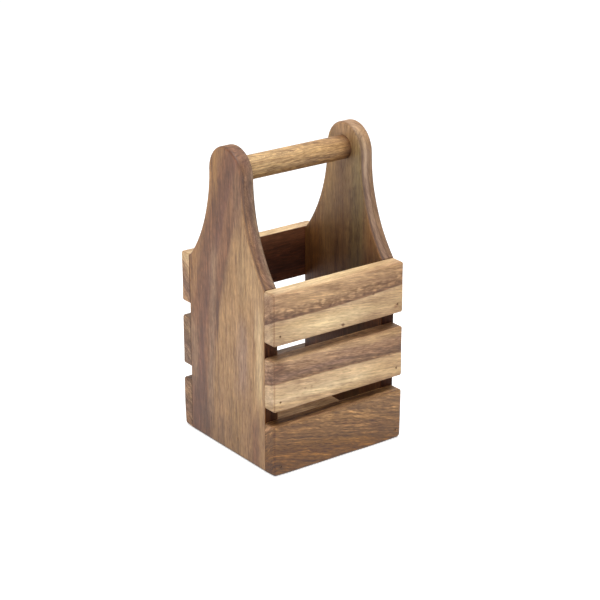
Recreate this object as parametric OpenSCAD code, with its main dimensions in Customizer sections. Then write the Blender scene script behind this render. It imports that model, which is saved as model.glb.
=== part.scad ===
// Wooden utensil caddy. Two domed end boards are joined by a round handle rod, three slats at the
// front, three slats at the rear and a floor board, all glued. A brad holds each end of each slat,
// and blind dowel pins carry the floor in the end boards.
// X runs along the handle, the front faces -Y, and the origin is the middle of the underside.

/* [Box] */
// Length along the handle, over the outer faces of the end boards
caddy_w = 125; // [100:1:200]
// Depth, over the outer faces of the front and rear slats
caddy_d = 125; // [100:1:150]
// Height of one slat
slat_h = 42; // [30:1:60]
// Open gap between one slat and the next
slat_gap = 12; // [5:1:20]
// Thickness of the slats
slat_t = 12; // [8:0.5:16]
// Thickness of the floor board
floor_t = 12; // [9:0.5:18]
// Radius that the edges of the boards are eased to
edge_r = 2; // [0.5:0.1:2.5]

/* [End boards] */
// Thickness of the end boards
end_t = 12; // [10:0.5:18]
// Height of the end boards above the top slats
neck_h = 100; // [80:1:160]
// Radius of the domed top
dome_r = 22; // [16:0.5:26]

/* [Handle] */
// Diameter of the handle rod
rod_d = 19; // [12:0.5:26]
// Distance from the top of the end boards down to the middle of the rod
rod_drop = 20; // [16:0.5:40]
// Depth that each end of the rod is let into its end board
rod_seat = 7; // [4:0.5:8]

/* [Floor pins] */
// Diameter of the dowel pins between the floor and the end boards
pin_d = 6; // [4:0.5:6]
// Length of a dowel pin
pin_len = 24; // [18:1:30]
// Depth that a pin is let into the end board
pin_seat = 8; // [5:0.5:8]
// Distance from the floor's front or rear edge to the middle of a pin
pin_inset = 24; // [20:1:32]

/* [Brads] */
// Diameter of a brad's shank
brad_d = 1.2; // [0.8:0.1:1.3]
// Diameter of a brad's head
brad_head_d = 1.7; // [1.5:0.1:2.4]
// Height of a brad's head
brad_head_h = 1; // [0.6:0.1:1.5]
// Length of a brad with its head
brad_len = 25; // [20:1:30]
// Depth that a brad's head is driven below the slat's face
brad_set = 0.6; // [0.4:0.1:1.5]
// Height of a brad above the lower edge of its slat
brad_up = 8; // [6:0.5:15]

/* [Fits] */
// Glue gap around a rod or pin in its hole
glue_gap = 0.1; // [0.05:0.05:0.2]
// Gap around a brad in its hole
brad_gap = 0.05; // [0.05:0.05:0.1]
// Spare depth past the end of a piece in a blind hole
blind_spare = 0.5; // [0.2:0.1:1]

/* [Hidden] */
$fn = 96;
// how far a cutter runs past the face that it cuts
over = 1;
// the slats are numbered from the bottom
BOTTOM = 0;
MIDDLE = 1;
TOP = 2;
SLATS = [BOTTOM, MIDDLE, TOP];
FRONT = -1;
REAR = 1;
LEFT = -1;
RIGHT = 1;

slat_pitch = slat_h + slat_gap;
box_h = TOP * slat_pitch + slat_h;
total_h = box_h + neck_h;
// inside length and depth, which are also the floor's
inside_w = caddy_w - 2 * end_t;
inside_d = caddy_d - 2 * slat_t;

// the concave side of an end board is an arc that leaves the box's corner at box_h and is upright
// where it meets the dome
dome_z = total_h - dome_r;
arc_in = inside_d / 2 - dome_r;
arc_up = dome_z - box_h;
arc_r = (arc_in ^ 2 + arc_up ^ 2) / (2 * arc_in);

rod_z = total_h - rod_drop;
rod_len = inside_w + 2 * rod_seat;
end_mid_x = (caddy_w - end_t) / 2;
pin_y = inside_d / 2 - pin_inset;
brad_tip_h = brad_d;
// depth of a brad's point below the slat's face
brad_reach = brad_set + brad_len;

TAN = [0.66, 0.50, 0.36];
PALE = [0.78, 0.63, 0.46];
DARK = [0.48, 0.36, 0.26];
BROWN = [0.62, 0.47, 0.35];
STEEL = [0.45, 0.43, 0.42];
PIN_WOOD = [0.85, 0.72, 0.53];

// a rectangle about the origin with rounded corners
module eased_rectangle(a, b, r) {
    square([a - 2 * r, b], center = true);
    square([a, b - 2 * r], center = true);
    for (i = [-1, 1], j = [-1, 1])
        translate([i * (a / 2 - r), j * (b / 2 - r)]) circle(r);
}

// a board about the origin with its edges eased, but for those round its +Y face, which is the one
// that is glued flush: there the rounding of two of the three sections falls outside the third
module eased_board(l, t, h, r) {
    intersection() {
        translate([0, t / 2, 0]) rotate([90, 0, 0]) linear_extrude(t) eased_rectangle(l, h, r);
        translate([0, r / 2, -h / 2]) linear_extrude(h) eased_rectangle(l, t + r, r);
        translate([-l / 2, r / 2, 0]) rotate([90, 0, 90]) linear_extrude(l) eased_rectangle(t + r, h, r);
    }
}

// the domed top: a half disc with eased edges, as wide as the neck below it
module dome() {
    rotate_extrude(angle = 180)
        intersection() {
            eased_rectangle(2 * dome_r, end_t, edge_r);
            translate([0, -end_t]) square([dome_r + over, 2 * end_t]);
        }
}

// what a concave side takes away: a disc, less the neck's own section where its rim meets the neck,
// so that the rim flares out at both faces and eases the edge
module concave_cutter() {
    rotate_extrude()
        difference() {
            translate([0, -end_t / 2 - over]) square([arc_r + edge_r, end_t + 2 * over]);
            translate([arc_r, 0])
                intersection() {
                    translate([dome_r, 0]) eased_rectangle(2 * dome_r, end_t, edge_r);
                    translate([0, -end_t]) square([dome_r, 2 * end_t]);
                }
        }
}

// what eases one edge of the length given, which runs along X with the board behind it at +Y and +Z
module edge_cutter(l) {
    translate([-l / 2, 0, 0])
        rotate([90, 0, 90])
            linear_extrude(l)
                difference() {
                    translate([-over, -over]) square(edge_r + over);
                    translate([edge_r, edge_r]) circle(edge_r);
                }
}

// an end board lying flat: X is its depth, Y its height, and its inner face is up
module end_blank() {
    translate([0, dome_z, 0]) dome();
    difference() {
        translate([-inside_d / 2, 0, -end_t / 2]) cube([inside_d, dome_z, end_t]);
        for (s = [-1, 1])
            translate([s * (dome_r + arc_r), dome_z, 0]) concave_cutter();
        translate([0, 0, -end_t / 2]) edge_cutter(inside_d + 2 * over);
        mirror([0, 0, 1]) translate([0, 0, -end_t / 2]) edge_cutter(inside_d + 2 * over);
    }
}

// the holes in an end board: the rod's socket, the pins' holes and the brads' holes in its edges
module end_holes() {
    translate([0, rod_z, end_t / 2 - rod_seat - blind_spare])
        cylinder(h = rod_seat + blind_spare + over, d = rod_d + 2 * glue_gap);
    for (s = [-1, 1])
        translate([s * pin_y, floor_t / 2, end_t / 2 - pin_seat - blind_spare])
            cylinder(h = pin_seat + blind_spare + over, d = pin_d + 2 * glue_gap);
    for (s = [-1, 1], i = SLATS)
        translate([s * (caddy_d / 2 - brad_reach - blind_spare), i * slat_pitch + brad_up, 0])
            rotate([0, s * 90, 0])
                cylinder(h = brad_reach - slat_t + blind_spare + over, d = brad_d + 2 * brad_gap);
}

module end_board(side) {
    color(BROWN)
        translate([side * end_mid_x, 0, 0])
            rotate([90, 0, 90])
                mirror([0, 0, side == RIGHT ? 1 : 0])
                    difference() {
                        end_blank();
                        end_holes();
                    }
}

module handle_rod() {
    color(PALE)
        translate([-rod_len / 2, 0, rod_z])
            rotate([0, 90, 0])
                cylinder(h = rod_len, d = rod_d);
}

module floor_board() {
    color(TAN)
        difference() {
            translate([-inside_w / 2, -inside_d / 2, 0]) cube([inside_w, inside_d, floor_t]);
            for (side = [LEFT, RIGHT], s = [-1, 1])
                translate([side * (inside_w / 2 - pin_len + pin_seat - blind_spare), s * pin_y, floor_t / 2])
                    rotate([0, side * 90, 0])
                        cylinder(h = pin_len - pin_seat + blind_spare + over, d = pin_d + 2 * glue_gap);
        }
}

// draws its children once for each brad of a slat, with +Z pointing out of the slat's face there
module at_brads(face, i) {
    for (side = [LEFT, RIGHT])
        translate([side * end_mid_x, face * caddy_d / 2, i * slat_pitch + brad_up])
            rotate([face * -90, 0, 0])
                children();
}

module slat(face, i, tone) {
    color(tone)
        difference() {
            translate([0, face * (caddy_d - slat_t) / 2, i * slat_pitch + slat_h / 2])
                mirror([0, face == REAR ? 1 : 0, 0])
                    eased_board(caddy_w, slat_t, slat_h, edge_r);
            at_brads(face, i) {
                translate([0, 0, -slat_t - over])
                    cylinder(h = slat_t + 2 * over, d = brad_d + 2 * brad_gap);
                translate([0, 0, -brad_set - brad_head_h])
                    cylinder(h = brad_set + brad_head_h + over, d = brad_head_d + 2 * brad_gap);
            }
        }
}

module brads(face, i) {
    color(STEEL)
        at_brads(face, i) {
            translate([0, 0, -brad_set - brad_head_h]) cylinder(h = brad_head_h, d = brad_head_d);
            translate([0, 0, -brad_reach + brad_tip_h])
                cylinder(h = brad_len - brad_tip_h - brad_head_h, d = brad_d);
            translate([0, 0, -brad_reach]) cylinder(h = brad_tip_h, d1 = brad_d / 4, d2 = brad_d);
        }
}

module floor_pins(side) {
    color(PIN_WOOD)
        for (s = [-1, 1])
            translate([side * (inside_w / 2 + pin_seat - pin_len), s * pin_y, floor_t / 2])
                rotate([0, side * 90, 0])
                    cylinder(h = pin_len, d = pin_d);
}

end_board(LEFT);  // left_end_board
end_board(RIGHT);  // right_end_board
handle_rod();
floor_board();
slat(FRONT, BOTTOM, DARK);  // front_slat_bottom
slat(FRONT, MIDDLE, TAN);  // front_slat_middle
slat(FRONT, TOP, PALE);  // front_slat_top
slat(REAR, BOTTOM, DARK);  // rear_slat_bottom
slat(REAR, MIDDLE, BROWN);  // rear_slat_middle
slat(REAR, TOP, TAN);  // rear_slat_top
brads(FRONT, BOTTOM);  // front_brads_bottom
brads(FRONT, MIDDLE);  // front_brads_middle
brads(FRONT, TOP);  // front_brads_top
brads(REAR, BOTTOM);  // rear_brads_bottom
brads(REAR, MIDDLE);  // rear_brads_middle
brads(REAR, TOP);  // rear_brads_top
floor_pins(LEFT);  // left_floor_pins
floor_pins(RIGHT);  // right_floor_pins
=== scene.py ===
"""Looks of a wooden utensil caddy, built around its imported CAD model.

Two domed end boards, six slats, a floor board and a round handle rod of oiled acacia, with brads in
the slats and dowel pins between the floor and the end boards. The caddy's sizes are in millimetres
up to the point where they go into a mesh or a node tree. Those of the camera, the lamps and the
sheet are in metres. The frame is the CAD's: X along the handle, front at -Y, Z up.
"""
import math

import bmesh
import bpy
import numpy as np
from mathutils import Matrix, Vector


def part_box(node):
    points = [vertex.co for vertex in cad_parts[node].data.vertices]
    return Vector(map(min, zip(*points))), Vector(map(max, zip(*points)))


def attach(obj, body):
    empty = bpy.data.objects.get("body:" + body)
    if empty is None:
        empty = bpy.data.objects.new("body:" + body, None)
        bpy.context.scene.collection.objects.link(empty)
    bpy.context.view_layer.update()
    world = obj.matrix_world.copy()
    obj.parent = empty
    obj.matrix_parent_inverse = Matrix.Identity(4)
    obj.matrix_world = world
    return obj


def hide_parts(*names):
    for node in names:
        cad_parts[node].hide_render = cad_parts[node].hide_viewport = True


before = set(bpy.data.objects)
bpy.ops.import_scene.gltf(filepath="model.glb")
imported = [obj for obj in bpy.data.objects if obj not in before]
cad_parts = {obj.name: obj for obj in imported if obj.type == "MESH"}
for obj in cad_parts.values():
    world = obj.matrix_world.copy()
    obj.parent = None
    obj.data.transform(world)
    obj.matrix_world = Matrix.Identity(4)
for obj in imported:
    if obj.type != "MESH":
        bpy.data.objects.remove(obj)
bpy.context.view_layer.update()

MM = 0.001

# edges are eased by hand to about this radius, and the dome is a half disc of this radius
EDGE_R = 2.0
DOME_R = 22.0
# the arris of an edge that another board butts against
BUTT_R = 0.12
# clearance of the drilled holes round what sits in them, what a blind hole has to spare, and how far
# outside of the wood a drill starts
GLUE_GAP = 0.1
BRAD_GAP = 0.05
BLIND_SPARE = 0.5
DRILL_START = 1.0
BRAD_HEAD_H = 1.0
BRAD_SHANK_R = 0.6
# the chamfer round the rod's ends
CHAMFER = 0.6
# share by which hand sanding lets the edge radius swell and shrink, and the two crossing waves that it
# follows on a block and round an end board, in radians per mm: one wave is 34 to 58 mm long
SANDING = 0.14
BLOCK_WAVES = ((0.11, 0.07, 0.13), (0.05, 0.12, 0.04))
OUTLINE_WAVES = ((0.09, 0.06), (0.04, -0.11))
# how much rounder the caddy's lowest corners have been sanded than its edges, and how far that reaches
WORN_FOOT = 1.6
WORN_REACH = 18.0

# the meshes: pitch of the lines on a flat face, the flat strip beside an eased edge, points round an
# edge, steps along an end board's outline, steps round turned pieces, and rings along the rod
PITCH = 6.0
EDGE_STRIP = 0.4
ROUND_POINTS = 6
SIDE_STEPS, ARC_STEPS, DOME_STEPS = 25, 39, 24
DRILL_STEPS, SOCKET_STEPS, ROD_STEPS = 24, 64, 72
ROD_RINGS = 40
# points closer than this are one, faces thinner than this go, and edges sharper than this stay sharp
MERGE = 0.002
SLIVER = 0.001
SHARP_DEGREES = 32

# the photograph's view: the camera's place, how far left of the front and above the level it stands in
# degrees, and its focal length and sensor in mm
CAMERA_PLACE = (-0.87741, -1.19698, 0.69122)
CAMERA_LEFT = 36.494
CAMERA_ABOVE = 21.288
FOCAL_LENGTH = 121.09
SENSOR = 36.0

# the world: the way to the backdrop's middle, the cosines to it between which the light rises, and its
# strength on the dim side and at the backdrop
BACKDROP_WAY = (0.59, 0.807, 0.0)
BACKDROP = {"From Min": -0.2, "From Max": 0.8, "To Min": 0.12, "To Max": 0.85}
# soft boxes: place, width, height and watts, and the middle of the caddy, which they light
LAMPS = {"overhead": ((-0.15, -0.2, 1.5), 1.0, 1.0, 22.0),
         "left_low": ((-1.3, -0.2, 0.2), 1.0, 0.35, 5.0),
         "front_low": ((-0.2, -1.3, 0.2), 1.0, 0.35, 5.0)}
MIDDLE = np.array([0.0, 0.0, 0.12])
# the sheet: half its side, its level just under the caddy, and how far it is lifted for the eye
SHEET_HALF = 4.0
SHEET_LEVEL = -0.1 * MM
PAPER_LIFT = 0.62


# ------------ nodes ------------

# settings that many nodes have in common: a soft step, a dot product, a colour laid over another, and
# a colour that another one darkens
SMOOTH = dict(interpolation_type="SMOOTHSTEP")
DOT = dict(operation="DOT_PRODUCT", out="Value")
LAID_OVER = dict(out=2, data_type="RGBA")
DARKENED = dict(out=2, data_type="RGBA", blend_type="MULTIPLY")


def linear(hex_code):
    """An sRGB hex colour as linear red, green, blue and alpha."""
    srgb = [int(hex_code[i:i + 2], 16) / 255 for i in (1, 3, 5)]
    return tuple(c / 12.92 if c <= 0.04045 else ((c + 0.055) / 1.055) ** 2.4 for c in srgb) + (1.0,)


def new_tree(name):
    """A fresh material and its empty node tree."""
    material = bpy.data.materials.new(name)
    material.use_nodes = True
    material.node_tree.nodes.clear()
    return material, material.node_tree


def add(tree, kind, inputs=None, out=0, stops=None, **settings):
    """Adds one node with its settings and links, and returns the output asked for, or all of them."""
    node = tree.nodes.new("ShaderNode" + kind)
    for key, value in settings.items():
        setattr(node, key, value)
    for key, value in (inputs or {}).items():
        if isinstance(value, bpy.types.NodeSocket):
            tree.links.new(value, node.inputs[key])
        else:
            node.inputs[key].default_value = value
    if stops:
        ramp = node.color_ramp
        while len(ramp.elements) < len(stops):
            ramp.elements.new(0.5)
        # all places are set before the colours, so that no colour can end up on another stop
        for element, (place, tone) in zip(ramp.elements, stops):
            element.position = place
        for element, (place, tone) in zip(ramp.elements, stops):
            element.color = linear(tone)
    return node.outputs if out is None else node.outputs[out]


def away_from(tree, value, middle):
    """How far a value lies from a middle one, on either side."""
    off = add(tree, "Math", {0: value, 1: middle}, operation="SUBTRACT")
    return add(tree, "Math", {0: off}, operation="ABSOLUTE")


def inside(tree, value, low, high, outer, inner, full=1.0):
    """A share that is full in a stretch of values and fades to nothing round both its ends, from the
    inner distance inside of an end to the outer distance outside of it."""
    off = away_from(tree, value, (low + high) / 2)
    half = (high - low) / 2
    return add(tree, "MapRange", {"Value": off, "From Min": half + outer, "From Max": half - inner,
                                  "To Max": full}, **SMOOTH)


def tones_along(tree, value, bands):
    """A ramp of tones by a value in mm, from (value, tone) pairs."""
    low, high = bands[0][0], bands[-1][0]
    reach = add(tree, "MapRange", {"Value": value, "From Min": low, "From Max": high})
    stops = [((place - low) / (high - low), tone) for place, tone in bands]
    return add(tree, "ValToRGB", {"Fac": reach}, stops=stops)


def for_viewers(tree, plain, full):
    """A strength that is full for what the eye, gloss and glass see, and the plain one for the rest."""
    ray = add(tree, "LightPath", out=None)
    seen = add(tree, "Math", {0: ray["Is Camera Ray"], 1: ray["Is Glossy Ray"]}, operation="MAXIMUM")
    seen = add(tree, "Math", {0: seen, 1: ray["Is Transmission Ray"]}, operation="MAXIMUM")
    return add(tree, "MapRange", {"Value": seen, "To Min": plain, "To Max": full})


# ------------ camera, floor and light ------------

def place_camera():
    """The photograph's view: 36 degrees left of the front and 21 degrees above, from about 1.6 m."""
    lens = bpy.data.cameras.new("camera")
    lens.sensor_width = SENSOR
    lens.lens = FOCAL_LENGTH
    camera = bpy.data.objects.new("camera", lens)
    camera.location = CAMERA_PLACE
    camera.rotation_euler = (math.radians(90 - CAMERA_ABOVE), 0, math.radians(-CAMERA_LEFT))
    bpy.context.scene.collection.objects.link(camera)
    bpy.context.scene.camera = camera


def area_lamp(name, spot, width, height, power):
    """A white soft box at the spot given, turned towards the middle of the caddy."""
    light = bpy.data.lights.new(name, "AREA")
    light.shape = "RECTANGLE"
    light.size = width
    light.size_y = height
    light.energy = power
    lamp = bpy.data.objects.new(name, light)
    lamp.location = spot
    x, y, z = MIDDLE - np.array(spot)
    lamp.rotation_euler = (math.atan2(math.hypot(x, y), -z), 0, math.atan2(-x, y))
    bpy.context.scene.collection.objects.link(lamp)


def light_the_room():
    """A white room: a bright backdrop behind the caddy, a broad soft box overhead, and two low ones
    that light the front and the left end without reaching over the rim into the box."""
    world = bpy.data.worlds.new("white_room")
    bpy.context.scene.world = world
    world.use_nodes = True
    tree = world.node_tree
    tree.nodes.clear()
    way = add(tree, "TexCoord", out="Generated")
    behind = add(tree, "VectorMath", {0: way, 1: BACKDROP_WAY}, **DOT)
    plain = add(tree, "MapRange", {"Value": behind, **BACKDROP}, **SMOOTH)
    glow = add(tree, "Background", {"Color": (1, 1, 1, 1), "Strength": for_viewers(tree, plain, 1.0)})
    add(tree, "OutputWorld", {"Surface": glow}, out=None)
    for name, (spot, width, height, power) in LAMPS.items():
        area_lamp(name, spot, width, height, power)


def lay_floor():
    """A white sheet under the caddy, far wider than the view, which takes the soft shadow."""
    mesh = bpy.data.meshes.new("sheet")
    rim = [(x * SHEET_HALF, y * SHEET_HALF, SHEET_LEVEL) for x, y in ((-1, -1), (1, -1), (1, 1), (-1, 1))]
    mesh.from_pydata(rim, [], [(0, 1, 2, 3)])
    sheet = bpy.data.objects.new("sheet", mesh)
    bpy.context.scene.collection.objects.link(sheet)
    # matt white paper: it bounces light as paper does, and the eye sees it lifted to white
    paper, tree = new_tree("matt white paper")
    matt = add(tree, "BsdfDiffuse", {"Color": linear("#e6e6e6")})
    glow = add(tree, "Emission", {"Color": (1, 1, 1, 1), "Strength": for_viewers(tree, 0.0, PAPER_LIFT)})
    add(tree, "OutputMaterial", {"Surface": add(tree, "AddShader", {0: matt, 1: glow})}, out=None)
    mesh.materials.append(paper)


# ------------ shapes ------------

def quads(rows, columns, wrap=False):
    """Corner numbers of the quads of a grid of points, row by row; wrap joins each row's ends."""
    across = columns if wrap else columns - 1
    i, j = np.meshgrid(np.arange(rows - 1), np.arange(across), indexing="ij")
    here, right = i * columns + j, i * columns + (j + 1) % columns
    return np.stack([here, right, right + columns, here + columns], -1).reshape(-1, 4)


def make_mesh(name, points, faces):
    """A closed mesh in metres from points in mm, with doubles merged and faces turned outwards."""
    mesh = bpy.data.meshes.new(name)
    mesh.from_pydata((np.asarray(points) * MM).tolist(), [], [list(face) for face in faces])
    work = bmesh.new()
    work.from_mesh(mesh)
    bmesh.ops.remove_doubles(work, verts=work.verts, dist=MERGE * MM)
    bmesh.ops.dissolve_degenerate(work, edges=work.edges, dist=SLIVER * MM)
    bmesh.ops.recalc_face_normals(work, faces=work.faces)
    work.to_mesh(mesh)
    work.free()
    return mesh


def turned(name, profile, centre, axis, steps):
    """A turned solid: (along, radius) pairs are swept round an axis, and its ends close on it."""
    along, radius = np.array(profile, float).T
    angle = np.arange(steps) * 2 * np.pi / steps
    points = np.zeros((len(along), steps, 3))
    points[..., axis] = along[:, None]
    points[..., (axis + 1) % 3] = radius[:, None] * np.cos(angle)
    points[..., (axis + 2) % 3] = radius[:, None] * np.sin(angle)
    points += np.array(centre)
    return make_mesh(name, points.reshape(-1, 3), quads(len(along), steps, wrap=True))


def sanding_wave(points, waves, phase):
    """A slow wave between -1 and 1 over a board: the product of two sines that cross each other."""
    first, second = waves
    return np.sin(points @ first + phase) * np.sin(points @ second + 2 * phase)


def eased_lines(low, high, radius, count):
    """Grid lines across a board: close together where its edges round over, a pitch apart between."""
    rise = radius * np.tan(np.radians(np.linspace(45, 0, count)))
    steps = max(2, round((high - low) / PITCH))
    inner = np.linspace(low + radius + EDGE_STRIP, high - radius - EDGE_STRIP, steps)
    return np.concatenate([low + radius - rise, inner, high - radius + rise[::-1]])


def box_face(lines, axis, level):
    """The grid of points on one face of a box, which crosses the axis given at a level."""
    b, c = (axis + 1) % 3, (axis + 2) % 3
    grid = np.zeros((len(lines[b]), len(lines[c]), 3))
    grid[..., axis] = level
    grid[..., b] = lines[b][:, None]
    grid[..., c] = lines[c][None, :]
    return grid


def eased_block(name, low, high, radius, phase, flush=0, worn=0.0):
    """A board with eased edges. Each point of a box's grid is clamped to the box shrunk by the radius
    and pushed out from there by the radius, which waves slowly along the board as sanding leaves it.
    On the flush side, -1 or 1 along Y, the box isn't shrunk, so the edges round that face are sharp.
    The radius grows by the worn amount towards the lower corners of the other side."""
    soft_low, soft_high = np.array([1.0, flush != -1, 1.0]), np.array([1.0, flush != 1, 1.0])
    reach = radius * (1 + SANDING) + worn
    lines = [eased_lines(low[a], high[a], reach, ROUND_POINTS + round(3 * worn)) for a in range(3)]
    back = high[1] if flush > 0 else low[1]
    points, faces, count = [], [], 0
    for axis, level in [(a, side[a]) for a in range(3) for side in (low, high)]:
        grid = box_face(lines, axis, level)
        far = np.hypot(high[0] - np.abs(grid[..., 0]), grid[..., 2] - low[2])
        near = np.clip(1 - far / WORN_REACH, 0, 1) * np.abs(grid[..., 1] - back) / (high[1] - low[1])
        r = (radius * (1 + SANDING * sanding_wave(grid, BLOCK_WAVES, phase)) + worn * near)[..., None]
        shrunk = np.clip(grid, low + r * soft_low, high - r * soft_high)
        out = grid - shrunk
        length = np.linalg.norm(out, axis=-1, keepdims=True)
        pushed = shrunk + r * out / np.maximum(length, 1e-9)
        points.append(np.where(length > 1e-6, pushed, grid).reshape(-1, 3))
        faces.append(quads(*grid.shape[:2]) + count)
        count += len(points[-1])
    return make_mesh(name, np.concatenate(points), np.concatenate(faces))


def end_outline(half_w, box_h, top):
    """Half of an end board's outline, from its lower corner up to the top of its dome: an upright
    side, an arc that leaves the box's corner and stands upright at the neck, and a quarter circle."""
    dome_z = top - DOME_R
    arc_in, arc_up = half_w - DOME_R, dome_z - box_h
    arc_r = (arc_in ** 2 + arc_up ** 2) / (2 * arc_in)
    sweep = np.linspace(math.asin(arc_up / arc_r), 0, ARC_STEPS + 1)
    arc = np.stack([DOME_R + arc_r - arc_r * np.cos(sweep), dome_z - arc_r * np.sin(sweep)], -1)
    turn = np.radians(np.linspace(0, 90, DOME_STEPS + 1))[1:]
    dome = np.stack([DOME_R * np.cos(turn), dome_z + DOME_R * np.sin(turn)], -1)
    rise = np.linspace(0, box_h, SIDE_STEPS + 1)[:-1]
    return np.concatenate([np.stack([np.full(SIDE_STEPS, half_w), rise], -1), arc, dome])


def drawn_in(loop, shift):
    """A closed outline with each of its sides moved inwards by its own shift. Each corner goes to where
    its two sides meet after that, and along their mean where they are nearly in line."""
    side = np.roll(loop, -1, 0) - loop
    normal = np.stack([side[:, 1], -side[:, 0]], -1) / np.linalg.norm(side, axis=1, keepdims=True)
    before, shift_before = np.roll(normal, 1, 0), np.roll(shift, 1)
    cosine = (normal * before).sum(1)
    in_line = cosine > 0.995
    mean = (normal + before) * ((shift_before + shift) / 2 / (1 + cosine))[:, None]
    safe = np.where(in_line, 1.0, 1 - cosine ** 2)
    mitre = (((shift_before - cosine * shift) / safe)[:, None] * before
             + ((shift - cosine * shift_before) / safe)[:, None] * normal)
    return loop - np.where(in_line[:, None], mean, mitre)


def end_board(name, x_low, x_high, half_w, box_h, top, phase):
    """An end board: its closed outline is carried through the board's thickness, drawn in towards
    both faces along a quarter circle, which eases the edges. The edges that the slats butt against
    stay sharp, and rungs between mirrored points fill the two flat faces."""
    right = end_outline(half_w, box_h, top)
    left = (right * [-1, 1])[:-1][::-1]
    loop = np.concatenate([right, left])
    n = len(loop)
    middle = loop + (np.roll(loop, -1, 0) - loop) / 2
    ease = EDGE_R * (1 + SANDING * sanding_wave(middle, OUTLINE_WAVES, phase))
    number = np.arange(n)
    butted = (number < SIDE_STEPS) | ((number >= n - 1 - SIDE_STEPS) & (number < n - 1))
    ease[butted] = BUTT_R
    half_t = (x_high - x_low) / 2
    turn = np.radians(np.linspace(0, 90, ROUND_POINTS + 1))
    rings = [(half_t - EDGE_R + EDGE_R * math.sin(t), drawn_in(loop, (1 - math.cos(t)) * ease)) for t in turn]
    rings.append((half_t, drawn_in(loop, ease + EDGE_STRIP)))
    stack = [(-x, ring) for x, ring in rings[::-1]] + rings
    x_middle = (x_low + x_high) / 2
    points = np.concatenate([np.column_stack([np.full(n, x + x_middle), ring]) for x, ring in stack])
    faces = quads(len(stack), n, wrap=True).tolist()
    tip = len(right) - 1
    for start in (0, (len(stack) - 1) * n):
        for i in range(tip - 1):
            faces.append([start + i, start + i + 1, start + (n - 2 - i), start + (n - 1 - i)])
        faces.append([start + tip - 1, start + tip, start + tip + 1])
    return make_mesh(name, points, faces)


def drill(tip, mouth, radius, centre, axis, steps=DRILL_STEPS):
    """A cutter for a round hole along an axis, from its flat bottom out past the face it opens in."""
    past = mouth + math.copysign(DRILL_START, mouth - tip)
    profile = [(tip, 0), (tip, radius), (past, radius), (past, 0)]
    return turned("drill", profile, centre, axis, steps)


def bore(mesh, cutters):
    """Drills holes: each turned cutter is taken out of the board, exactly as a drill would."""
    board = bpy.data.objects.new("board", mesh)
    bpy.context.scene.collection.objects.link(board)
    tools = []
    for cutter in cutters:
        tool = bpy.data.objects.new("drill", cutter)
        bpy.context.scene.collection.objects.link(tool)
        cut = board.modifiers.new("hole", "BOOLEAN")
        cut.operation = "DIFFERENCE"
        cut.solver = "EXACT"
        cut.object = tool
        tools.append(tool)
    graph = bpy.context.evaluated_depsgraph_get()
    bored = bpy.data.meshes.new_from_object(board.evaluated_get(graph))
    for scrap in tools + [board]:
        bpy.data.objects.remove(scrap)
    return bored


def finish_piece(name, mesh, material, node):
    """Puts a piece in the scene in place of its CAD node, with its faces smooth up to sharp edges."""
    mesh.name = name
    mesh.materials.clear()
    mesh.materials.append(material)
    mesh.polygons.foreach_set("use_smooth", [True] * len(mesh.polygons))
    mesh.polygons.foreach_set("material_index", [0] * len(mesh.polygons))
    mesh.set_sharp_from_angle(angle=math.radians(SHARP_DEGREES))
    piece = bpy.data.objects.new(name, mesh)
    bpy.context.scene.collection.objects.link(piece)
    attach(piece, "root")
    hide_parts(node)


# ------------ oiled acacia ------------

# noises of the wood: length, width and depth of their blotches in mm, and octaves. The first two bend
# the growth layers. The others lie along the fibres: mineral streaks, clouds of oil colour, growth
# lines about 2 mm and 1 mm apart, thin dark late-wood lines, dashes, flecks, cross-grain curl and open
# pores. Fibres and pores are 0.1 to 0.2 mm wide in real wood, and are drawn 0.5 to 0.8 mm wide so
# that they show.
BENDS = {"slow": ((70, 22, 22), 2.0), "quick": ((14, 3.5, 3.5), 2.0)}
GRAINS = {"mineral": ((75, 4.5, 9), 3.0), "cloud": ((26, 9, 9), 2.0), "wide": ((45, 2.2, 12), 1.5),
          "thin": ((22, 1.0, 6), 1.0), "late": ((42, 3.2, 10), 1.0), "dash": ((9, 1.6, 3), 1.0),
          "fleck": ((5.2, 0.75, 0.75), 2.0), "curl": ((6, 15, 15), 1.0), "pore": ((4.2, 0.5, 0.5), 1.0)}
# places of the length and the width in those sizes
LENGTH, WIDTH = 0, 1

# how squarely the surface has to face across the grain to count as a board's edge, and along it to
# count as end grain: the cosines where that begins and where it is full
EDGE_ON = {"From Min": 0.5, "From Max": 0.85}
END_ON = {"From Min": 0.8, "From Max": 0.98}
# painted shade on the eased arris round an end: how squarely it faces along X, and how far from that
# value it begins and is full
ARRIS = 0.62
ARRIS_REACH = {"From Min": 0.36, "From Max": 0.14}

# streaks: how far the slow noise sways them in mm, the share of their width by which the quick one
# frays them, and how far they fade on each side of their ends in mm
STREAK_SWAY = 4.0
STREAK_FRAY = 0.5
STREAK_FADE = 12
# the core on the edges: how ragged its layers are and how far it fades at the faces in mm, the heights
# between which it pales on the dome, and the share left there
CORE_RAGGED = 1.6
CORE_FADE = 1.0
CROWN = {"From Min": 228, "From Max": 246, "To Min": 1.0, "To Max": 0.45}
# strength of the thin growth lines and the dashes beside the wide lines and the flecks, strength of the
# curl, and how near to its middle value the late-wood noise draws a line
THIN_SHARE = 0.7
DASH_SHARE = 0.7
CURL = 0.2
LATE_LINE = {"From Min": 0.045, "From Max": 0.0}
# the grain shows more in dark heartwood than in cream sapwood: the brightness of sapwood and of
# heartwood, and the grain's contrast in each
CONTRAST = {"From Min": 0.45, "From Max": 0.1, "To Min": 0.65, "To Max": 1.7}
# curly figure: length, width and depth of its rounded cells in mm, how far its band fades, how far from
# a cell's rim it is lightest and darkest, how light beside a darkness of 1, and strength of its flecks
CURL_CELL = (8.0, 5.6, 8.0)
CURL_FADE = 1.2
CURL_RIM = {"From Min": 0.3, "From Max": 0.02, "To Min": -0.35, "To Max": 1.0}
CURL_FLECK = 1.6
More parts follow.
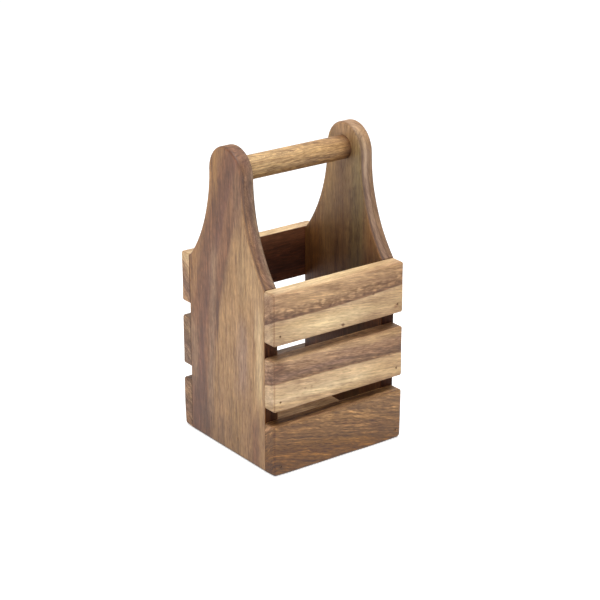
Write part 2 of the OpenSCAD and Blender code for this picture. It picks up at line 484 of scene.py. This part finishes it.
# what is darker is also more orange, because the oil lies thicker in it; mineral streaks go from
# purple-brown to yellow-tan, and the clouds from golden to pale. All three are red, green and blue.
OIL_DEPTH = (0.93, 1.04, 1.1)
MINERAL_HUE = np.array([0.92, 1.1, 0.95])
CLOUD_HUE = np.array([0.85, 1.0, 1.2])
# noise values between which a pore opens
PORE_EDGE = {"From Min": 0.6, "From Max": 0.72}
# how ragged a spot's rim can be at most in mm, and the share of its radius over which it fades
SPOT_RAGGED = 3.0
SPOT_FADE = 0.7
# satin oil: its IOR and roughness, what flecks, pores and end grain add to that, specular level on the
# oiled wood and on the end boards' painted-shade edges between the slats, and depth of the relief in mm
OIL_IOR = 1.48
SATIN = 0.42
DULLER = (0.16, 0.2, 0.15)
SHINE, GAP_SHINE = 0.5, 0.08
RELIEF = 0.12


class Acacia:
    """One board's oiled acacia while its shader is built: the node tree, the board's own frame, the
    noises, and the tone and the light and dark of the grain so far.

    The frame is in mm: along the grain, across the board's face, and depth below the face. order names
    the axes that these three follow, face is where the face lies on the third, and sign is -1 where
    depth counts against that axis. dip is how far the layers shift across with depth."""

    def __init__(self, name, order, face, sign, dip, seed):
        self.material, self.tree = new_tree(name)
        self.order, self.dip, self.seed = order, dip, seed
        xyz = add(self.tree, "SeparateXYZ", {0: add(self.tree, "TexCoord", out="Object")}, out=None)
        self.height = add(self.tree, "Math", {0: xyz["Z"], 1: 1 / MM}, operation="MULTIPLY")
        swapped = add(self.tree, "CombineXYZ", {i: xyz[letter] for i, letter in enumerate(order)})
        self.place = add(self.tree, "VectorMath", {0: swapped, 1: (1 / MM, 1 / MM, sign / MM),
                                                   2: (0, 0, -sign * face)}, operation="MULTIPLY_ADD")
        self.along, self.across, self.depth = add(self.tree, "SeparateXYZ", {0: self.place}, out=None)
        self.way = add(self.tree, "SeparateXYZ", {0: add(self.tree, "TexCoord", out="Normal")}, out=None)
        self.noise = {}
        self.add_noises(BENDS, self.place, WIDTH)

    def add_noises(self, kinds, place, apart):
        """Noises stretched to the sizes of their blotches. The seed moves them away from those of other
        boards, and one of their own sizes, the length or the width, moves them away from each other."""
        for kind, (size, octaves) in kinds.items():
            shift = (self.seed, 1.7 * self.seed, size[apart])
            scaled = add(self.tree, "VectorMath", {0: place, 1: tuple(1 / s for s in size), 2: shift},
                         operation="MULTIPLY_ADD")
            self.noise[kind] = add(self.tree, "TexNoise", {"Vector": scaled, "Scale": 1.0, "Detail": octaves})

    def bend_layers(self, lean, bow, wander, ripple):
        """Growth layers are level lines of a ring coordinate: the place across the face, plus a lean
        and a bow along the grain, a dip with depth, a slow wander and a quick ripple."""
        tree = self.tree
        waves = add(tree, "CombineXYZ", {0: self.noise["slow"], 1: self.noise["quick"]})
        waves = add(tree, "VectorMath", {0: waves, 1: (2 * wander, ripple, 0)}, **DOT)
        self.waves = add(tree, "Math", {0: waves, 1: -wander - ripple / 2}, operation="ADD")
        ring = add(tree, "VectorMath", {0: self.place, 1: (lean, 1.0, self.dip)}, **DOT)
        amount, middle = bow
        off = add(tree, "Math", {0: self.along, 1: middle}, operation="SUBTRACT")
        square = add(tree, "Math", {0: off, 1: off}, operation="MULTIPLY")
        ring = add(tree, "Math", {0: square, 1: amount, 2: ring}, operation="MULTIPLY_ADD")
        self.ring = add(tree, "Math", {0: ring, 1: self.waves}, operation="ADD")

    def lay_fibres(self, slant):
        """The fibres run at their own slant to the layers, and on the board's edges they are seen by
        depth instead. The noises of the grain follow them."""
        tree = self.tree
        edge_on = add(tree, "Math", {0: self.way[self.order[1]]}, operation="ABSOLUTE")
        edge_on = add(tree, "MapRange", {"Value": edge_on, **EDGE_ON}, **SMOOTH)
        aslant = add(tree, "VectorMath", {0: self.place, 1: (slant, 1.0, self.dip)}, **DOT)
        aslant = add(tree, "Math", {0: aslant, 1: self.waves}, operation="ADD")
        on_face = add(tree, "CombineXYZ", {0: self.along, 1: aslant, 2: self.depth})
        on_edge = add(tree, "CombineXYZ", {0: self.along, 1: self.depth, 2: self.ring})
        fibres = add(tree, "Mix", {0: edge_on, 4: on_face, 5: on_edge}, out=1, data_type="VECTOR")
        self.add_noises(GRAINS, fibres, LENGTH)

    def lay_bands(self, bands):
        """Tones by growth layer."""
        self.tone = tones_along(self.tree, self.ring, bands)

    def lay_streaks(self, streaks):
        """Streaks of mineral or sap colour along the grain, and a few of painted light, which sway, fray and
        fade at their ends.
        """
        tree = self.tree
        for place, tilt, width, colour, strength, start, end in streaks:
            fray = STREAK_FRAY * width
            line = add(tree, "VectorMath", {0: self.place, 1: (tilt, 1.0, self.dip)}, **DOT)
            for kind, reach in (("slow", STREAK_SWAY), ("quick", fray)):
                line = add(tree, "Math", {0: self.noise[kind], 1: reach, 2: line}, operation="MULTIPLY_ADD")
            off = away_from(tree, line, place + STREAK_SWAY / 2 + fray / 2)
            near = add(tree, "MapRange", {"Value": off, "From Min": width / 2, "From Max": 0.0,
                                          "To Max": strength}, **SMOOTH)
            within = inside(tree, self.along, start, end, STREAK_FADE, STREAK_FADE)
            share = add(tree, "Math", {0: near, 1: within}, operation="MULTIPLY")
            self.tone = add(tree, "Mix", {0: share, 6: self.tone, 7: linear(colour)}, **LAID_OVER)

    def lay_core(self, core):
        """Tones by depth between the two faces, which are seen on the board's edges. They are ragged,
        fade at the faces, and pale on the crown of the dome."""
        tree = self.tree
        ragged = add(tree, "Math", {0: self.noise["quick"], 1: CORE_RAGGED, 2: -CORE_RAGGED / 2},
                     operation="MULTIPLY_ADD")
        ragged = add(tree, "Math", {0: ragged, 1: self.depth}, operation="ADD")
        inner = tones_along(tree, ragged, core)
        share = inside(tree, self.depth, core[0][0], core[-1][0], 0.0, CORE_FADE)
        crown = add(tree, "MapRange", {"Value": self.along, **CROWN}, **SMOOTH)
        share = add(tree, "Math", {0: share, 1: crown}, operation="MULTIPLY")
        self.tone = add(tree, "Mix", {0: share, 6: self.tone, 7: inner}, **LAID_OVER)

    def shade_grain(self, growth, late, fleck):
        """Light and dark of the grain: growth lines, dashes, flecks, curl, and thin late-wood lines
        where their noise crosses its middle value, all about a mean of nothing."""
        tree, noise = self.tree, self.noise
        lines = add(tree, "CombineXYZ", {0: noise["wide"], 1: noise["thin"], 2: noise["dash"]})
        strengths = (growth, THIN_SHARE * growth, DASH_SHARE * fleck)
        shade = add(tree, "VectorMath", {0: lines, 1: strengths}, **DOT)
        line = away_from(tree, noise["late"], 0.5)
        late_wood = add(tree, "MapRange", {"Value": line, **LATE_LINE}, **SMOOTH)
        marks = add(tree, "CombineXYZ", {0: late_wood, 1: noise["curl"], 2: noise["fleck"]})
        marks = add(tree, "VectorMath", {0: marks, 1: (-late, CURL, fleck)}, **DOT)
        shade = add(tree, "Math", {0: shade, 1: marks}, operation="ADD")
        mean = (growth * (1 + THIN_SHARE) + fleck * (1 + DASH_SHARE) + CURL) / 2
        shade = add(tree, "Math", {0: shade, 1: -mean}, operation="ADD")
        contrast = add(tree, "MapRange", {"Value": self.tone, **CONTRAST})
        self.shade = add(tree, "Math", {0: shade, 1: contrast}, operation="MULTIPLY")

    def curl_layers(self, low, high, strength):
        """Curly figure along one band of growth layers: rounded cells with dark rims, and flecks."""
        tree = self.tree
        layers = add(tree, "CombineXYZ", {0: self.along, 1: self.ring, 2: self.depth})
        cell = add(tree, "VectorMath", {0: layers, 1: tuple(1 / s for s in CURL_CELL)}, operation="MULTIPLY")
        rim = add(tree, "TexVoronoi", {"Vector": cell, "Scale": 1.0, "Randomness": 0.85},
                  feature="DISTANCE_TO_EDGE")
        rim = add(tree, "MapRange", {"Value": rim, **CURL_RIM}, **SMOOTH)
        rim = add(tree, "Math", {0: self.noise["fleck"], 1: -CURL_FLECK, 2: rim}, operation="MULTIPLY_ADD")
        rim = add(tree, "Math", {0: rim, 1: CURL_FLECK / 2}, operation="ADD")
        within = inside(tree, self.ring, low, high, CURL_FADE, CURL_FADE, full=-strength)
        self.shade = add(tree, "Math", {0: rim, 1: within, 2: self.shade}, operation="MULTIPLY_ADD")

    def colour_grain(self, mineral, cloud):
        """Lays the grain, the mineral streaks and the clouds of oil colour on the tone. Light and dark
        marks depart from it by equal ratios, so the dark ones don't turn black."""
        tree = self.tree
        shade = add(tree, "Math", {0: self.shade}, operation="EXPONENT")
        shade = add(tree, "Math", {0: shade, 1: 1.0}, operation="SUBTRACT")
        level = 1 - 0.5 * (MINERAL_HUE * mineral + CLOUD_HUE * cloud)
        shade = add(tree, "VectorMath", {0: shade, 1: OIL_DEPTH, 2: level}, operation="MULTIPLY_ADD")
        for kind, hue in (("mineral", MINERAL_HUE * mineral), ("cloud", CLOUD_HUE * cloud)):
            shade = add(tree, "VectorMath", {0: self.noise[kind], 1: hue, 2: shade}, operation="MULTIPLY_ADD")
        self.tone = add(tree, "VectorMath", {0: self.tone, 1: shade}, operation="MULTIPLY")

    def open_pores(self, strength):
        """Short open pores, which hold more oil and are browner."""
        self.pore = add(self.tree, "MapRange", {"Value": self.noise["pore"], **PORE_EDGE}, **SMOOTH)
        share = add(self.tree, "Math", {0: self.pore, 1: strength}, operation="MULTIPLY")
        self.tone = add(self.tree, "Mix", {0: share, 6: self.tone, 7: linear("#a87248")}, **DARKENED)

    def lay_spots(self, spots):
        """Pin knots, stains round the brads, and painted shade round a joint."""
        tree = self.tree
        for centre, radius, strength, colour in spots:
            ragged = min(radius, SPOT_RAGGED)
            away = add(tree, "VectorMath", {0: self.place, 1: centre}, operation="DISTANCE", out="Value")
            away = add(tree, "Math", {0: self.noise["fleck"], 1: ragged, 2: away}, operation="MULTIPLY_ADD")
            edge = radius + ragged / 2
            share = add(tree, "MapRange", {"Value": away, "From Min": edge, "To Max": strength,
                                           "From Max": edge - SPOT_FADE * radius}, **SMOOTH)
            self.tone = add(tree, "Mix", {0: share, 6: self.tone, 7: linear(colour)}, **DARKENED)

    def lay_tints(self, tints):
        """Tints that darken towards one side, which the boards mostly use for painted shade. "side" counts
        outwards both ways from the middle and is used for the painted shade on the end boards' edges between
        the slats, and
        "above_foot" is the height above the underside."""
        tree = self.tree
        coordinate = {"along": self.along, "across": self.across, "depth": self.depth,
                      "side": add(tree, "Math", {0: self.across}, operation="ABSOLUTE"),
                      "above_foot": self.height}
        self.gap_shade = None
        for what, start, full, colour in tints:
            share = add(tree, "MapRange", {"Value": coordinate[what], "From Min": start, "From Max": full})
            # the "side" tint is painted shade on the end boards' edges between the slats
            if what == "side":
                self.gap_shade = share
            self.tone = add(tree, "Mix", {0: share, 6: self.tone, 7: linear(colour)}, **DARKENED)

    def tone_ends(self):
        """The end grain is a little greyer. The eased arris round the ends and the end boards is darker:
        painted shade on the rounded edge."""
        tree = self.tree
        end_on = add(tree, "Math", {0: self.way[self.order[0]]}, operation="ABSOLUTE")
        self.end_grain = add(tree, "MapRange", {"Value": end_on, **END_ON}, **SMOOTH)
        self.tone = add(tree, "Mix", {0: self.end_grain, 6: self.tone, 7: linear("#f8f8ff")}, **DARKENED)
        turn = add(tree, "Math", {0: self.way["X"]}, operation="ABSOLUTE")
        # painted shade on the eased arris, which turns it darker
        arris = add(tree, "MapRange", {"Value": away_from(tree, turn, ARRIS), **ARRIS_REACH}, **SMOOTH)
        self.tone = add(tree, "Mix", {0: arris, 6: self.tone, 7: linear("#d8cfca")}, **DARKENED)

    def oil(self):
        """Satin oil: duller in the pores and on the end grain, and matt on the end boards' edges between the
        slats, where painted shade lies.
        """
        tree, fleck = self.tree, self.noise["fleck"]
        marks = add(tree, "CombineXYZ", {0: fleck, 1: self.pore, 2: self.end_grain})
        gloss = add(tree, "VectorMath", {0: marks, 1: DULLER}, **DOT)
        gloss = add(tree, "Math", {0: gloss, 1: SATIN}, operation="ADD")
        relief = add(tree, "Math", {0: self.pore, 1: -0.7, 2: fleck}, operation="MULTIPLY_ADD")
        bump = add(tree, "Bump", {"Height": relief, "Strength": 0.5, "Distance": RELIEF * MM})
        shine = SHINE
        # matt where the painted shade lies on the end boards' edges between the slats
        if self.gap_shade is not None:
            shine = add(tree, "MapRange", {"Value": self.gap_shade, "To Min": SHINE, "To Max": GAP_SHINE})
        shader = add(tree, "BsdfPrincipled", {"Base Color": self.tone, "Roughness": gloss, "IOR": OIL_IOR,
                                              "Specular IOR Level": shine, "Normal": bump})
        add(tree, "OutputMaterial", {"Surface": shader}, out=None)


def oiled_acacia(node, order, face, bands, sign=1, lean=0.0, bow=(0.0, 0.0), dip=0.0, wander=1.5, ripple=1.2,
                 slant=0.0, core=(), streaks=(), figure=None, spots=(), tints=(), mineral=1.2, cloud=0.9,
                 growth=1.0, late=0.12, fleck=1.5, pores=0.35, seed=0.0):
    """Oiled acacia, planed and sanded: brown heartwood against cream sapwood, thin dark growth lines,
    short open pores that look like dark flecks along the grain and like dots on the end grain, and a
    soft satin shine that the pores break up.

    bands gives the tones by ring coordinate, and core the tones by depth between the two faces.
    streaks lie along the grain: (place, tilt, width, tone, strength, start, end); a few are painted light.
    figure is
    the band of layers with curly figure: (low, high, strength). spots are knots, stains and painted shade
    round
    joints: (centre in the wood's frame, radius, strength, tone). tints darken towards one side, mostly as
    painted
    shade: (coordinate, where it starts, where it is full, tone)."""
    wood = Acacia("oiled acacia, " + node.replace("_", " "), order, face, sign, dip, seed)
    wood.bend_layers(lean, bow, wander, ripple)
    wood.lay_fibres(slant)
    wood.lay_bands(bands)
    wood.lay_streaks(streaks)
    if core:
        wood.lay_core(core)
    wood.shade_grain(growth, late, fleck)
    if figure:
        wood.curl_layers(*figure)
    wood.colour_grain(mineral, cloud)
    wood.open_pores(pores)
    wood.lay_spots(spots)
    wood.lay_tints(tints)
    wood.tone_ends()
    wood.oil()
    return wood.material


# ------------ steel and birch ------------

def dulled_steel():
    """Wire brads browned by the oil and a little rust: dull brown metal in small blotches, which lets
    them sink into the wood's own colour."""
    material, tree = new_tree("oil-browned steel brad")
    # blotches of oxide about 0.8 mm across
    blotch = add(tree, "TexNoise", {"Vector": add(tree, "TexCoord", out="Object"), "Scale": 1 / (0.8 * MM),
                                    "Detail": 3.0})
    tone = add(tree, "ValToRGB", {"Fac": blotch}, stops=[(0.3, "#54402c"), (0.6, "#86694c")])
    gloss = add(tree, "MapRange", {"Value": blotch, "To Min": 0.75, "To Max": 0.4})
    bump = add(tree, "Bump", {"Height": blotch, "Strength": 0.3, "Distance": 0.05 * MM})
    shader = add(tree, "BsdfPrincipled", {"Base Color": tone, "Metallic": 0.6, "Roughness": gloss,
                                          "Normal": bump})
    add(tree, "OutputMaterial", {"Surface": shader}, out=None)
    return material


def birch_dowel():
    """Plain birch dowel, rolled and unfinished: pale, matt, with faint straight fibres along X."""
    material, tree = new_tree("unfinished birch dowel")
    # fibres 0.5 mm wide and 12 mm long
    scaled = add(tree, "VectorMath", {0: add(tree, "TexCoord", out="Object"),
                                      1: tuple(1 / (size * MM) for size in (12, 0.5, 0.5))},
                 operation="MULTIPLY")
    fibres = add(tree, "TexNoise", {"Vector": scaled, "Scale": 1.0, "Detail": 3.0})
    tone = add(tree, "ValToRGB", {"Fac": fibres}, stops=[(0.3, "#c9a577"), (0.7, "#e2c79c")])
    bump = add(tree, "Bump", {"Height": fibres, "Strength": 0.4, "Distance": 0.08 * MM})
    shader = add(tree, "BsdfPrincipled", {"Base Color": tone, "Roughness": 0.7, "Normal": bump})
    add(tree, "OutputMaterial", {"Surface": shader}, out=None)
    return material


# ------------ the tones of each board ------------

# painted shade along a board's lowest edge, where it meets the floor, and painted shade on the end boards'
# edges that show in the gaps between the slats
FOOT_SHADE = ("above_foot", 2.6, 0.4, "#8f8880")
PAINTED_GAP_SHADE = ("side", 49.8, 50.4, "#a0877a")
# a stain round a brad's head: radius, strength and tone
BRAD_STAIN = (1.5, 0.4, "#a0744c")

# each slat's material slot, its tones by height, and how its growth layers lie
SLAT_WOODS = {
    "front_slat_top": ("pale_slat_wood", dict(
        bow=(-0.00045, -25.0), dip=0.5, wander=0.3, ripple=0.7, slant=0.13, seed=1.0,
        mineral=0.8, fleck=1.15, growth=0.85,
        bands=[(104, "#ac8a62"), (109, "#bf9f76"), (113, "#ccad83"), (118, "#ccae83"), (123, "#c5a57a"),
               (127.7, "#c7a780"), (128.5, "#886344"), (129.5, "#79563c"), (131.5, "#af8860"),
               (136, "#b08b65"), (141, "#b08b64"), (147, "#b5916a"), (150, "#c09c74"), (151, "#d4b487"),
               (158, "#e0c496"), (170, "#dcc092")],
        streaks=[(117, -0.03, 16, "#e6cc9e", 0.5, -34, 24), (131.8, 0.0, 5, "#72513a", 0.7, -75, -42),
                 (133, 0.0, 5, "#7f5b3c", 0.6, 46, 75), (145, 0.0, 13, "#a07d59", 0.35, 30, 75),
                 (130.0, 0.0, 3, "#6a4a33", 0.5, -75, 12)],
        figure=(129.8, 137.5, 0.46),
        tints=[("along", 10, 55, "#efe9e3"), ("along", -38, -60, "#e8e4e6"),
               # painted shade along the slat's lower edge
               ("across", 110.6, 108.4, "#e2dad2")],
        spots=[((3, 111.5, 0), 2.2, 0.9, "#7b5a3c"), ((32.5, 129.8, 0), 1.6, 0.6, "#7b5a3c"),
               ((55, 115, 0), 2.4, 0.5, "#b98c70")])),
    "front_slat_middle": ("two_tone_slat_wood", dict(
        lean=0.025, dip=0.35, wander=0.3, ripple=0.7, slant=0.13, seed=2.0,
        mineral=0.9, fleck=1.2, growth=0.9,
        bands=[(52, "#bd9a72"), (58, "#bb9a70"), (63, "#d3b68d"), (69, "#cbac83"), (75.6, "#caa981"),
               (76.4, "#926d4b"), (78, "#836244"), (82, "#87654b"), (85, "#987354"), (89, "#a88363"),
               (94, "#b4916a"), (98, "#ab8560"), (110, "#97704a")],
        streaks=[(64.5, 0.0, 10, "#e0c79b", 0.5, -34, 22), (56, 0.0, 3, "#d2b088", 0.7, -52, 0),
                 (66, 0.0, 22, "#b89268", 0.45, 34, 80), (83, 0.0, 8, "#74564a", 0.4, -60, 12),
                 (80, 0.0, 7, "#94705a", 0.4, -80, -44), (92, 0.0, 12, "#ae8d62", 0.5, 24, 75)],
        figure=(76.5, 90, 0.13),
        # the second tint is painted shade along the slat's lower edge
        tints=[("along", 10, 55, "#eee8e2"), ("across", 57, 54.4, "#d8d0c6")],
        spots=[((-33, 68, 0), 1.5, 0.4, "#8f6a48"), ((-27, 68, 0), 1.5, 0.35, "#8f6a48"),
               # the last spot is painted shade beside the left end board
               ((-58, 90, -6), 14, 0.9, "#a08678")])),
    "front_slat_bottom": ("dark_slat_wood", dict(
        lean=0.2, bow=(0.0009, 0.0), dip=0.7, wander=3.0, ripple=3.0, slant=0.26, seed=3.0,
        mineral=0.75, fleck=1.4, growth=1.5, late=0.2,
        bands=[(-20, "#725230"), (-8, "#7b572e"), (8, "#835a2b"), (14, "#7c5526"), (20, "#785530"),
               (28, "#855f38"), (36, "#866139"), (46, "#7e5b38"), (60, "#86623c")],
        # a painted highlight on the slat's upper arris and the front of its top face
        streaks=[(44, 0.0, 5.5, "#c09468", 0.9, -100, 100)],
        # the last tint is painted shade along the slat's lowest edge
        tints=[("across", 34, 8, "#dcd2c6"), ("along", -10, -50, "#ece6e0"), FOOT_SHADE])),
    "rear_slat_top": ("two_tone_slat_wood", dict(
        lean=-0.02, dip=0.9, wander=2.0, seed=4.0, sign=-1,
        bands=[(106, "#a37b56"), (118, "#b0875f"), (126, "#8a6850"), (129, "#7a5a46"), (140, "#9c7757"),
               (148, "#b8946a"), (152, "#c9a67a"), (164, "#d4b586")],
        # painted shade on the slat's inner face, inside the box
        tints=[("depth", 10.8, 11.7, "#8a675c")])),
    "rear_slat_middle": ("dark_slat_wood", dict(
        lean=0.03, dip=0.6, wander=3.0, ripple=2.5, seed=5.0, sign=-1,
        bands=[(50, "#7b5f48"), (62, "#8c6f56"), (74, "#775944"), (86, "#86684c"), (100, "#977758")],
        # painted shade on the slat's inner face, inside the box
        tints=[("depth", 10.8, 11.7, "#b8aca8")])),
    "rear_slat_bottom": ("dark_slat_wood", dict(
        lean=-0.04, dip=0.5, wander=3.0, ripple=3.5, seed=6.0, sign=-1,
        growth=1.4, late=0.3,
        bands=[(-4, "#76553c"), (10, "#8a6545"), (22, "#7a5b44"), (34, "#8e6c4c"), (48, "#866548")],
        # painted shade on the slat's inner face, inside the box
        tints=[("depth", 10.8, 11.7, "#b8aca8")])),
}

# the end boards, whose tones go by the place from front to rear: on the left one a brown heartwood band
# lies beside tan wood with golden and brown streaks, and the right one is plainer, of golden brown
END_WOODS = {
    "left_end_board": dict(
        lean=0.077, bow=(0.00087, 30.0), dip=0.5, wander=0.8, ripple=1.0, seed=7.0,
        mineral=1.1, fleck=0.85, growth=0.7,
        bands=[(-60, "#a57e53"), (-20, "#a07a52"), (10, "#a17b52"), (20, "#a17a50"), (23.5, "#936e4a"),
               (27.2, "#6d462c"), (31, "#7e5437"), (38, "#835a3c"), (42, "#714935"), (47, "#704830"),
               (52, "#774e33"), (58, "#764d30"), (62, "#8d643f"), (70, "#966b41"), (84, "#885e38")],
        streaks=[(-43, 0.0, 15, "#d2b487", 0.8, 58, 132), (-22, 0.0, 20, "#ad8b60", 0.6, 132, 186),
                 (-38, 0.0, 28, "#c09c70", 0.6, 134, 178), (-21, 0.0, 24, "#91725f", 0.75, 56, 116),
                 (-10, 0.0, 32, "#916e44", 0.7, -30, 46), (-37, 0.0, 18, "#7a4d32", 0.8, -20, 40),
                 (12, 0.0, 6, "#644029", 0.85, 96, 134), (26, 0.06, 14, "#94765a", 0.65, 22, 165),
                 (47, 0.0, 22, "#a58464", 0.55, 42, 96), (34, 0.0, 15, "#623d2d", 0.75, 12, 88),
                 (31, 0.0, 18, "#5b3c26", 0.75, -14, 32), (10, 0.0, 28, "#76563a", 0.55, -30, 22),
                 (11, 0.0, 3.5, "#a4845c", 0.7, 34, 60), (18, 0.0, 3.5, "#9c7d58", 0.5, 40, 60),
                 (16, 0.0, 9, "#643e22", 0.75, 182, 208), (8, 0.0, 2.6, "#56321d", 0.75, 196, 216),
                 (14, 0.0, 12, "#9b7042", 0.7, 208, 266), (-16, 0.0, 22, "#7b583e", 0.9, 188, 232)],
        core=[(0.3, "#5e4230"), (1.8, "#644631"), (3.0, "#7f5c40"), (4.6, "#7f5d45"), (6, "#6d4f3d"),
              (8, "#6f5442"), (10, "#80664f"), (11.2, "#735b47"), (12, "#584638")],
        # painted shade on the inner face round the rod's socket
        spots=[((230, 0, 18), 18, 0.7, "#a09080")],
        # the tints are painted shade: darker towards the foot, on the edges between the slats, and along the
        # lowest edge
        tints=[("along", 84, 16, "#dfd9d3"), PAINTED_GAP_SHADE, FOOT_SHADE]),
    "right_end_board": dict(
        lean=0.03, dip=1.2, wander=2.0, ripple=1.2, seed=8.0,
        fleck=0.75, growth=0.5,
        bands=[(-52, "#9e7547"), (-28, "#986f44"), (-18, "#876f48"), (-8, "#897047"), (0, "#957248"),
               (10, "#987148"), (18, "#aa8252"), (28, "#b28954"), (38, "#a47540"), (54, "#906534"),
               (70, "#9e7547")],
        # a painted light over the whole width of the board's upper part, round the dome
        streaks=[(0, 0.0, 60, "#b68f68", 0.6, 230, 270)],
        core=[(0.3, "#63493a"), (1.5, "#6d5240"), (2.6, "#977b62"), (4.2, "#9c806a"), (5.6, "#987b62"),
              (6.6, "#735843"), (7.6, "#8f7054"), (10.6, "#8d6e50"), (12, "#5c4636")],
        # painted shade on the inner face round the rod's socket
        spots=[((226, -5, -6), 12, 0.7, "#80695a")],
        # the tints are painted shade: darker below the dome, on the edges between the slats, and along the
        # lowest edge
        tints=[("along", 215, 100, "#9c8277"), PAINTED_GAP_SHADE, FOOT_SHADE]),
}

# the floor board, flat-sawn
FLOOR_WOOD = dict(
    sign=-1, lean=0.05, dip=0.8, wander=3.0, seed=9.0,
    bands=[(-55, "#90704c"), (-25, "#a3805a"), (0, "#8b6c4f"), (22, "#a07e5a"), (60, "#876a4a")])

# the handle rod, with painted shade towards the right end board and on its underside
ROD_WOOD = dict(
    lean=0.02, dip=1.2, wander=1.5, slant=0.4, seed=10.0,
    mineral=0.8, cloud=0.6, fleck=2.2, growth=1.2, pores=0.6,
    bands=[(-24, "#ad8c5f"), (-8, "#b39266"), (2, "#b8976a"), (12, "#aa8659"), (24, "#b49164")],
    streaks=[(-3, 0.05, 3, "#9c7850", 0.6, -50, -8), (2, -0.04, 2.5, "#9c7850", 0.5, -12, 40),
             (-6, 0.03, 3, "#dfbd8c", 0.5, -30, 30)],
    # painted shade: darker towards the right end board and towards the underside
    tints=[("along", 40, 50, "#98826e"), ("along", -30, 40, "#dfd2c4"), ("depth", 5, -9, "#c6b8a8")])


# ------------ the caddy ------------

def corners(node):
    """The lowest and highest corner of a CAD node, in mm."""
    low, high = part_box(node)
    return np.array(low) / MM, np.array(high) / MM


# where the brads sit in a slat: along the slat, above its lower edge, and how deep below its face
slat_low = corners("front_slat_bottom")[0]
brad_low, brad_high = corners("front_brads_bottom")
brad_head_r = (brad_high[2] - brad_low[2]) / 2
brad_x = brad_high[0] - brad_head_r
brad_up = (brad_high[2] + brad_low[2]) / 2 - slat_low[2]
brad_set = brad_low[1] - slat_low[1]

# the rod, the floor's pins, and the height of the box
rod_low, rod_high = corners("handle_rod")
rod_r = (rod_high[1] - rod_low[1]) / 2
rod_z = (rod_low[2] + rod_high[2]) / 2
pin_low, pin_high = corners("left_floor_pins")
pin_r = (pin_high[2] - pin_low[2]) / 2
pin_y = pin_high[1] - pin_r
pin_z = (pin_high[2] + pin_low[2]) / 2
box_top = corners("front_slat_top")[1][2]


def make_slat(node, look, phase):
    """A slat, flush on its inner face and eased on the other edges, with two brads set into its outer
    face. A brad's pit and its shank's hole are one cutter, from outside the face to past the back."""
    low, high = corners(node)
    front = low[1] < 0
    inward = 1 if front else -1
    face = low[1] if front else high[1]
    brad_z = low[2] + brad_up
    stains = [((side * brad_x, brad_z, 0), *BRAD_STAIN) for side in (-1, 1)]
    wood = oiled_acacia(node, "XZY", face, **{**look, "spots": look.get("spots", []) + stains})
    head_r, shank_r = brad_head_r + BRAD_GAP, BRAD_SHANK_R + BRAD_GAP
    pit, past = brad_set + BRAD_HEAD_H, high[1] - low[1] + DRILL_START
    steps = [(-DRILL_START, 0), (-DRILL_START, head_r), (pit, head_r),
             (pit, shank_r), (past, shank_r), (past, 0)]
    profile = [(inward * depth, radius) for depth, radius in steps]
    pits = [turned("drill", profile, (side * brad_x, face, brad_z), 1, DRILL_STEPS) for side in (-1, 1)]
    worn = WORN_FOOT if node.endswith("bottom") else 0.0
    slat = eased_block(node, low, high, EDGE_R, phase, flush=inward, worn=worn)
    finish_piece("acacia_" + node, bore(slat, pits), wood, node)


def make_end_board(node, look, phase):
    """An end board, with a blind socket for the rod and blind holes for the floor's pins and the brads."""
    low, high = corners(node)
    side = -1 if low[0] < 0 else 1
    inner = high[0] if side < 0 else low[0]
    rod_tip = side * (rod_high[0] + BLIND_SPARE)
    holes = [drill(rod_tip, inner, rod_r + GLUE_GAP, (0, 0, rod_z), 0, SOCKET_STEPS)]
    for y in (-pin_y, pin_y):
        holes.append(drill(side * (-pin_low[0] + BLIND_SPARE), inner, pin_r + GLUE_GAP, (0, y, pin_z), 0))
    for row in ("bottom", "middle", "top"):
        nail_low, nail_high = corners("front_brads_" + row)
        centre = (side * brad_x, 0, (nail_low[2] + nail_high[2]) / 2)
        for edge in (-1, 1):
            nail_tip = edge * (-nail_high[1] - BLIND_SPARE)
            holes.append(drill(nail_tip, edge * high[1], BRAD_SHANK_R + BRAD_GAP, centre, 1))
    board = end_board(node, low[0], high[0], high[1], box_top, high[2], phase)
    wood = oiled_acacia(node, "ZYX", low[0], **look)
    finish_piece("acacia_" + node, bore(board, holes), wood, node)


def make_floor_board(node):
    """The floor board, with its grain along X and blind holes for its pins in both ends."""
    low, high = corners(node)
    holes = [drill(-side * (pin_high[0] + BLIND_SPARE), side * high[0], pin_r + GLUE_GAP, (0, y, pin_z), 0)
             for side in (-1, 1) for y in (-pin_y, pin_y)]
    floor = eased_block(node, low, high, BUTT_R, phase=0.4)
    wood = oiled_acacia(node, "XYZ", high[2], **FLOOR_WOOD)
    finish_piece("acacia_" + node, bore(floor, holes), wood, node)


def make_rod(node):
    """The handle rod, turned, with its ends chamfered for the sockets."""
    left, right = rod_low[0], rod_high[0]
    profile = [(left, 0), (left, rod_r - CHAMFER), (left + CHAMFER, rod_r)]
    profile += [(x, rod_r) for x in np.linspace(left + 2 * CHAMFER, right - 2 * CHAMFER, ROD_RINGS)]
    profile += [(right - CHAMFER, rod_r), (right, rod_r - CHAMFER), (right, 0)]
    rod = turned(node, profile, (0, 0, rod_z), 0, ROD_STEPS)
    wood = oiled_acacia(node, "XYZ", rod_z, **ROD_WOOD)
    finish_piece("acacia_" + node, rod, wood, node)


def dress_fasteners():
    """Brads and pins keep their CAD shapes and get their real finish."""
    steel, birch = dulled_steel(), birch_dowel()
    for node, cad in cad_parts.items():
        if "brads" in node or "pins" in node:
            cad.data.materials.clear()
            cad.data.materials.append(steel if "brads" in node else birch)


place_camera()
light_the_room()
lay_floor()
for number, (node, (slot, look)) in enumerate(SLAT_WOODS.items()):
    make_slat(node, look, phase=1.3 * number)
for number, (node, look) in enumerate(END_WOODS.items()):
    make_end_board(node, look, phase=2.1 * number)
make_floor_board("floor_board")
make_rod("handle_rod")
dress_fasteners()

bpy.context.scene.view_settings.view_transform = "Standard"
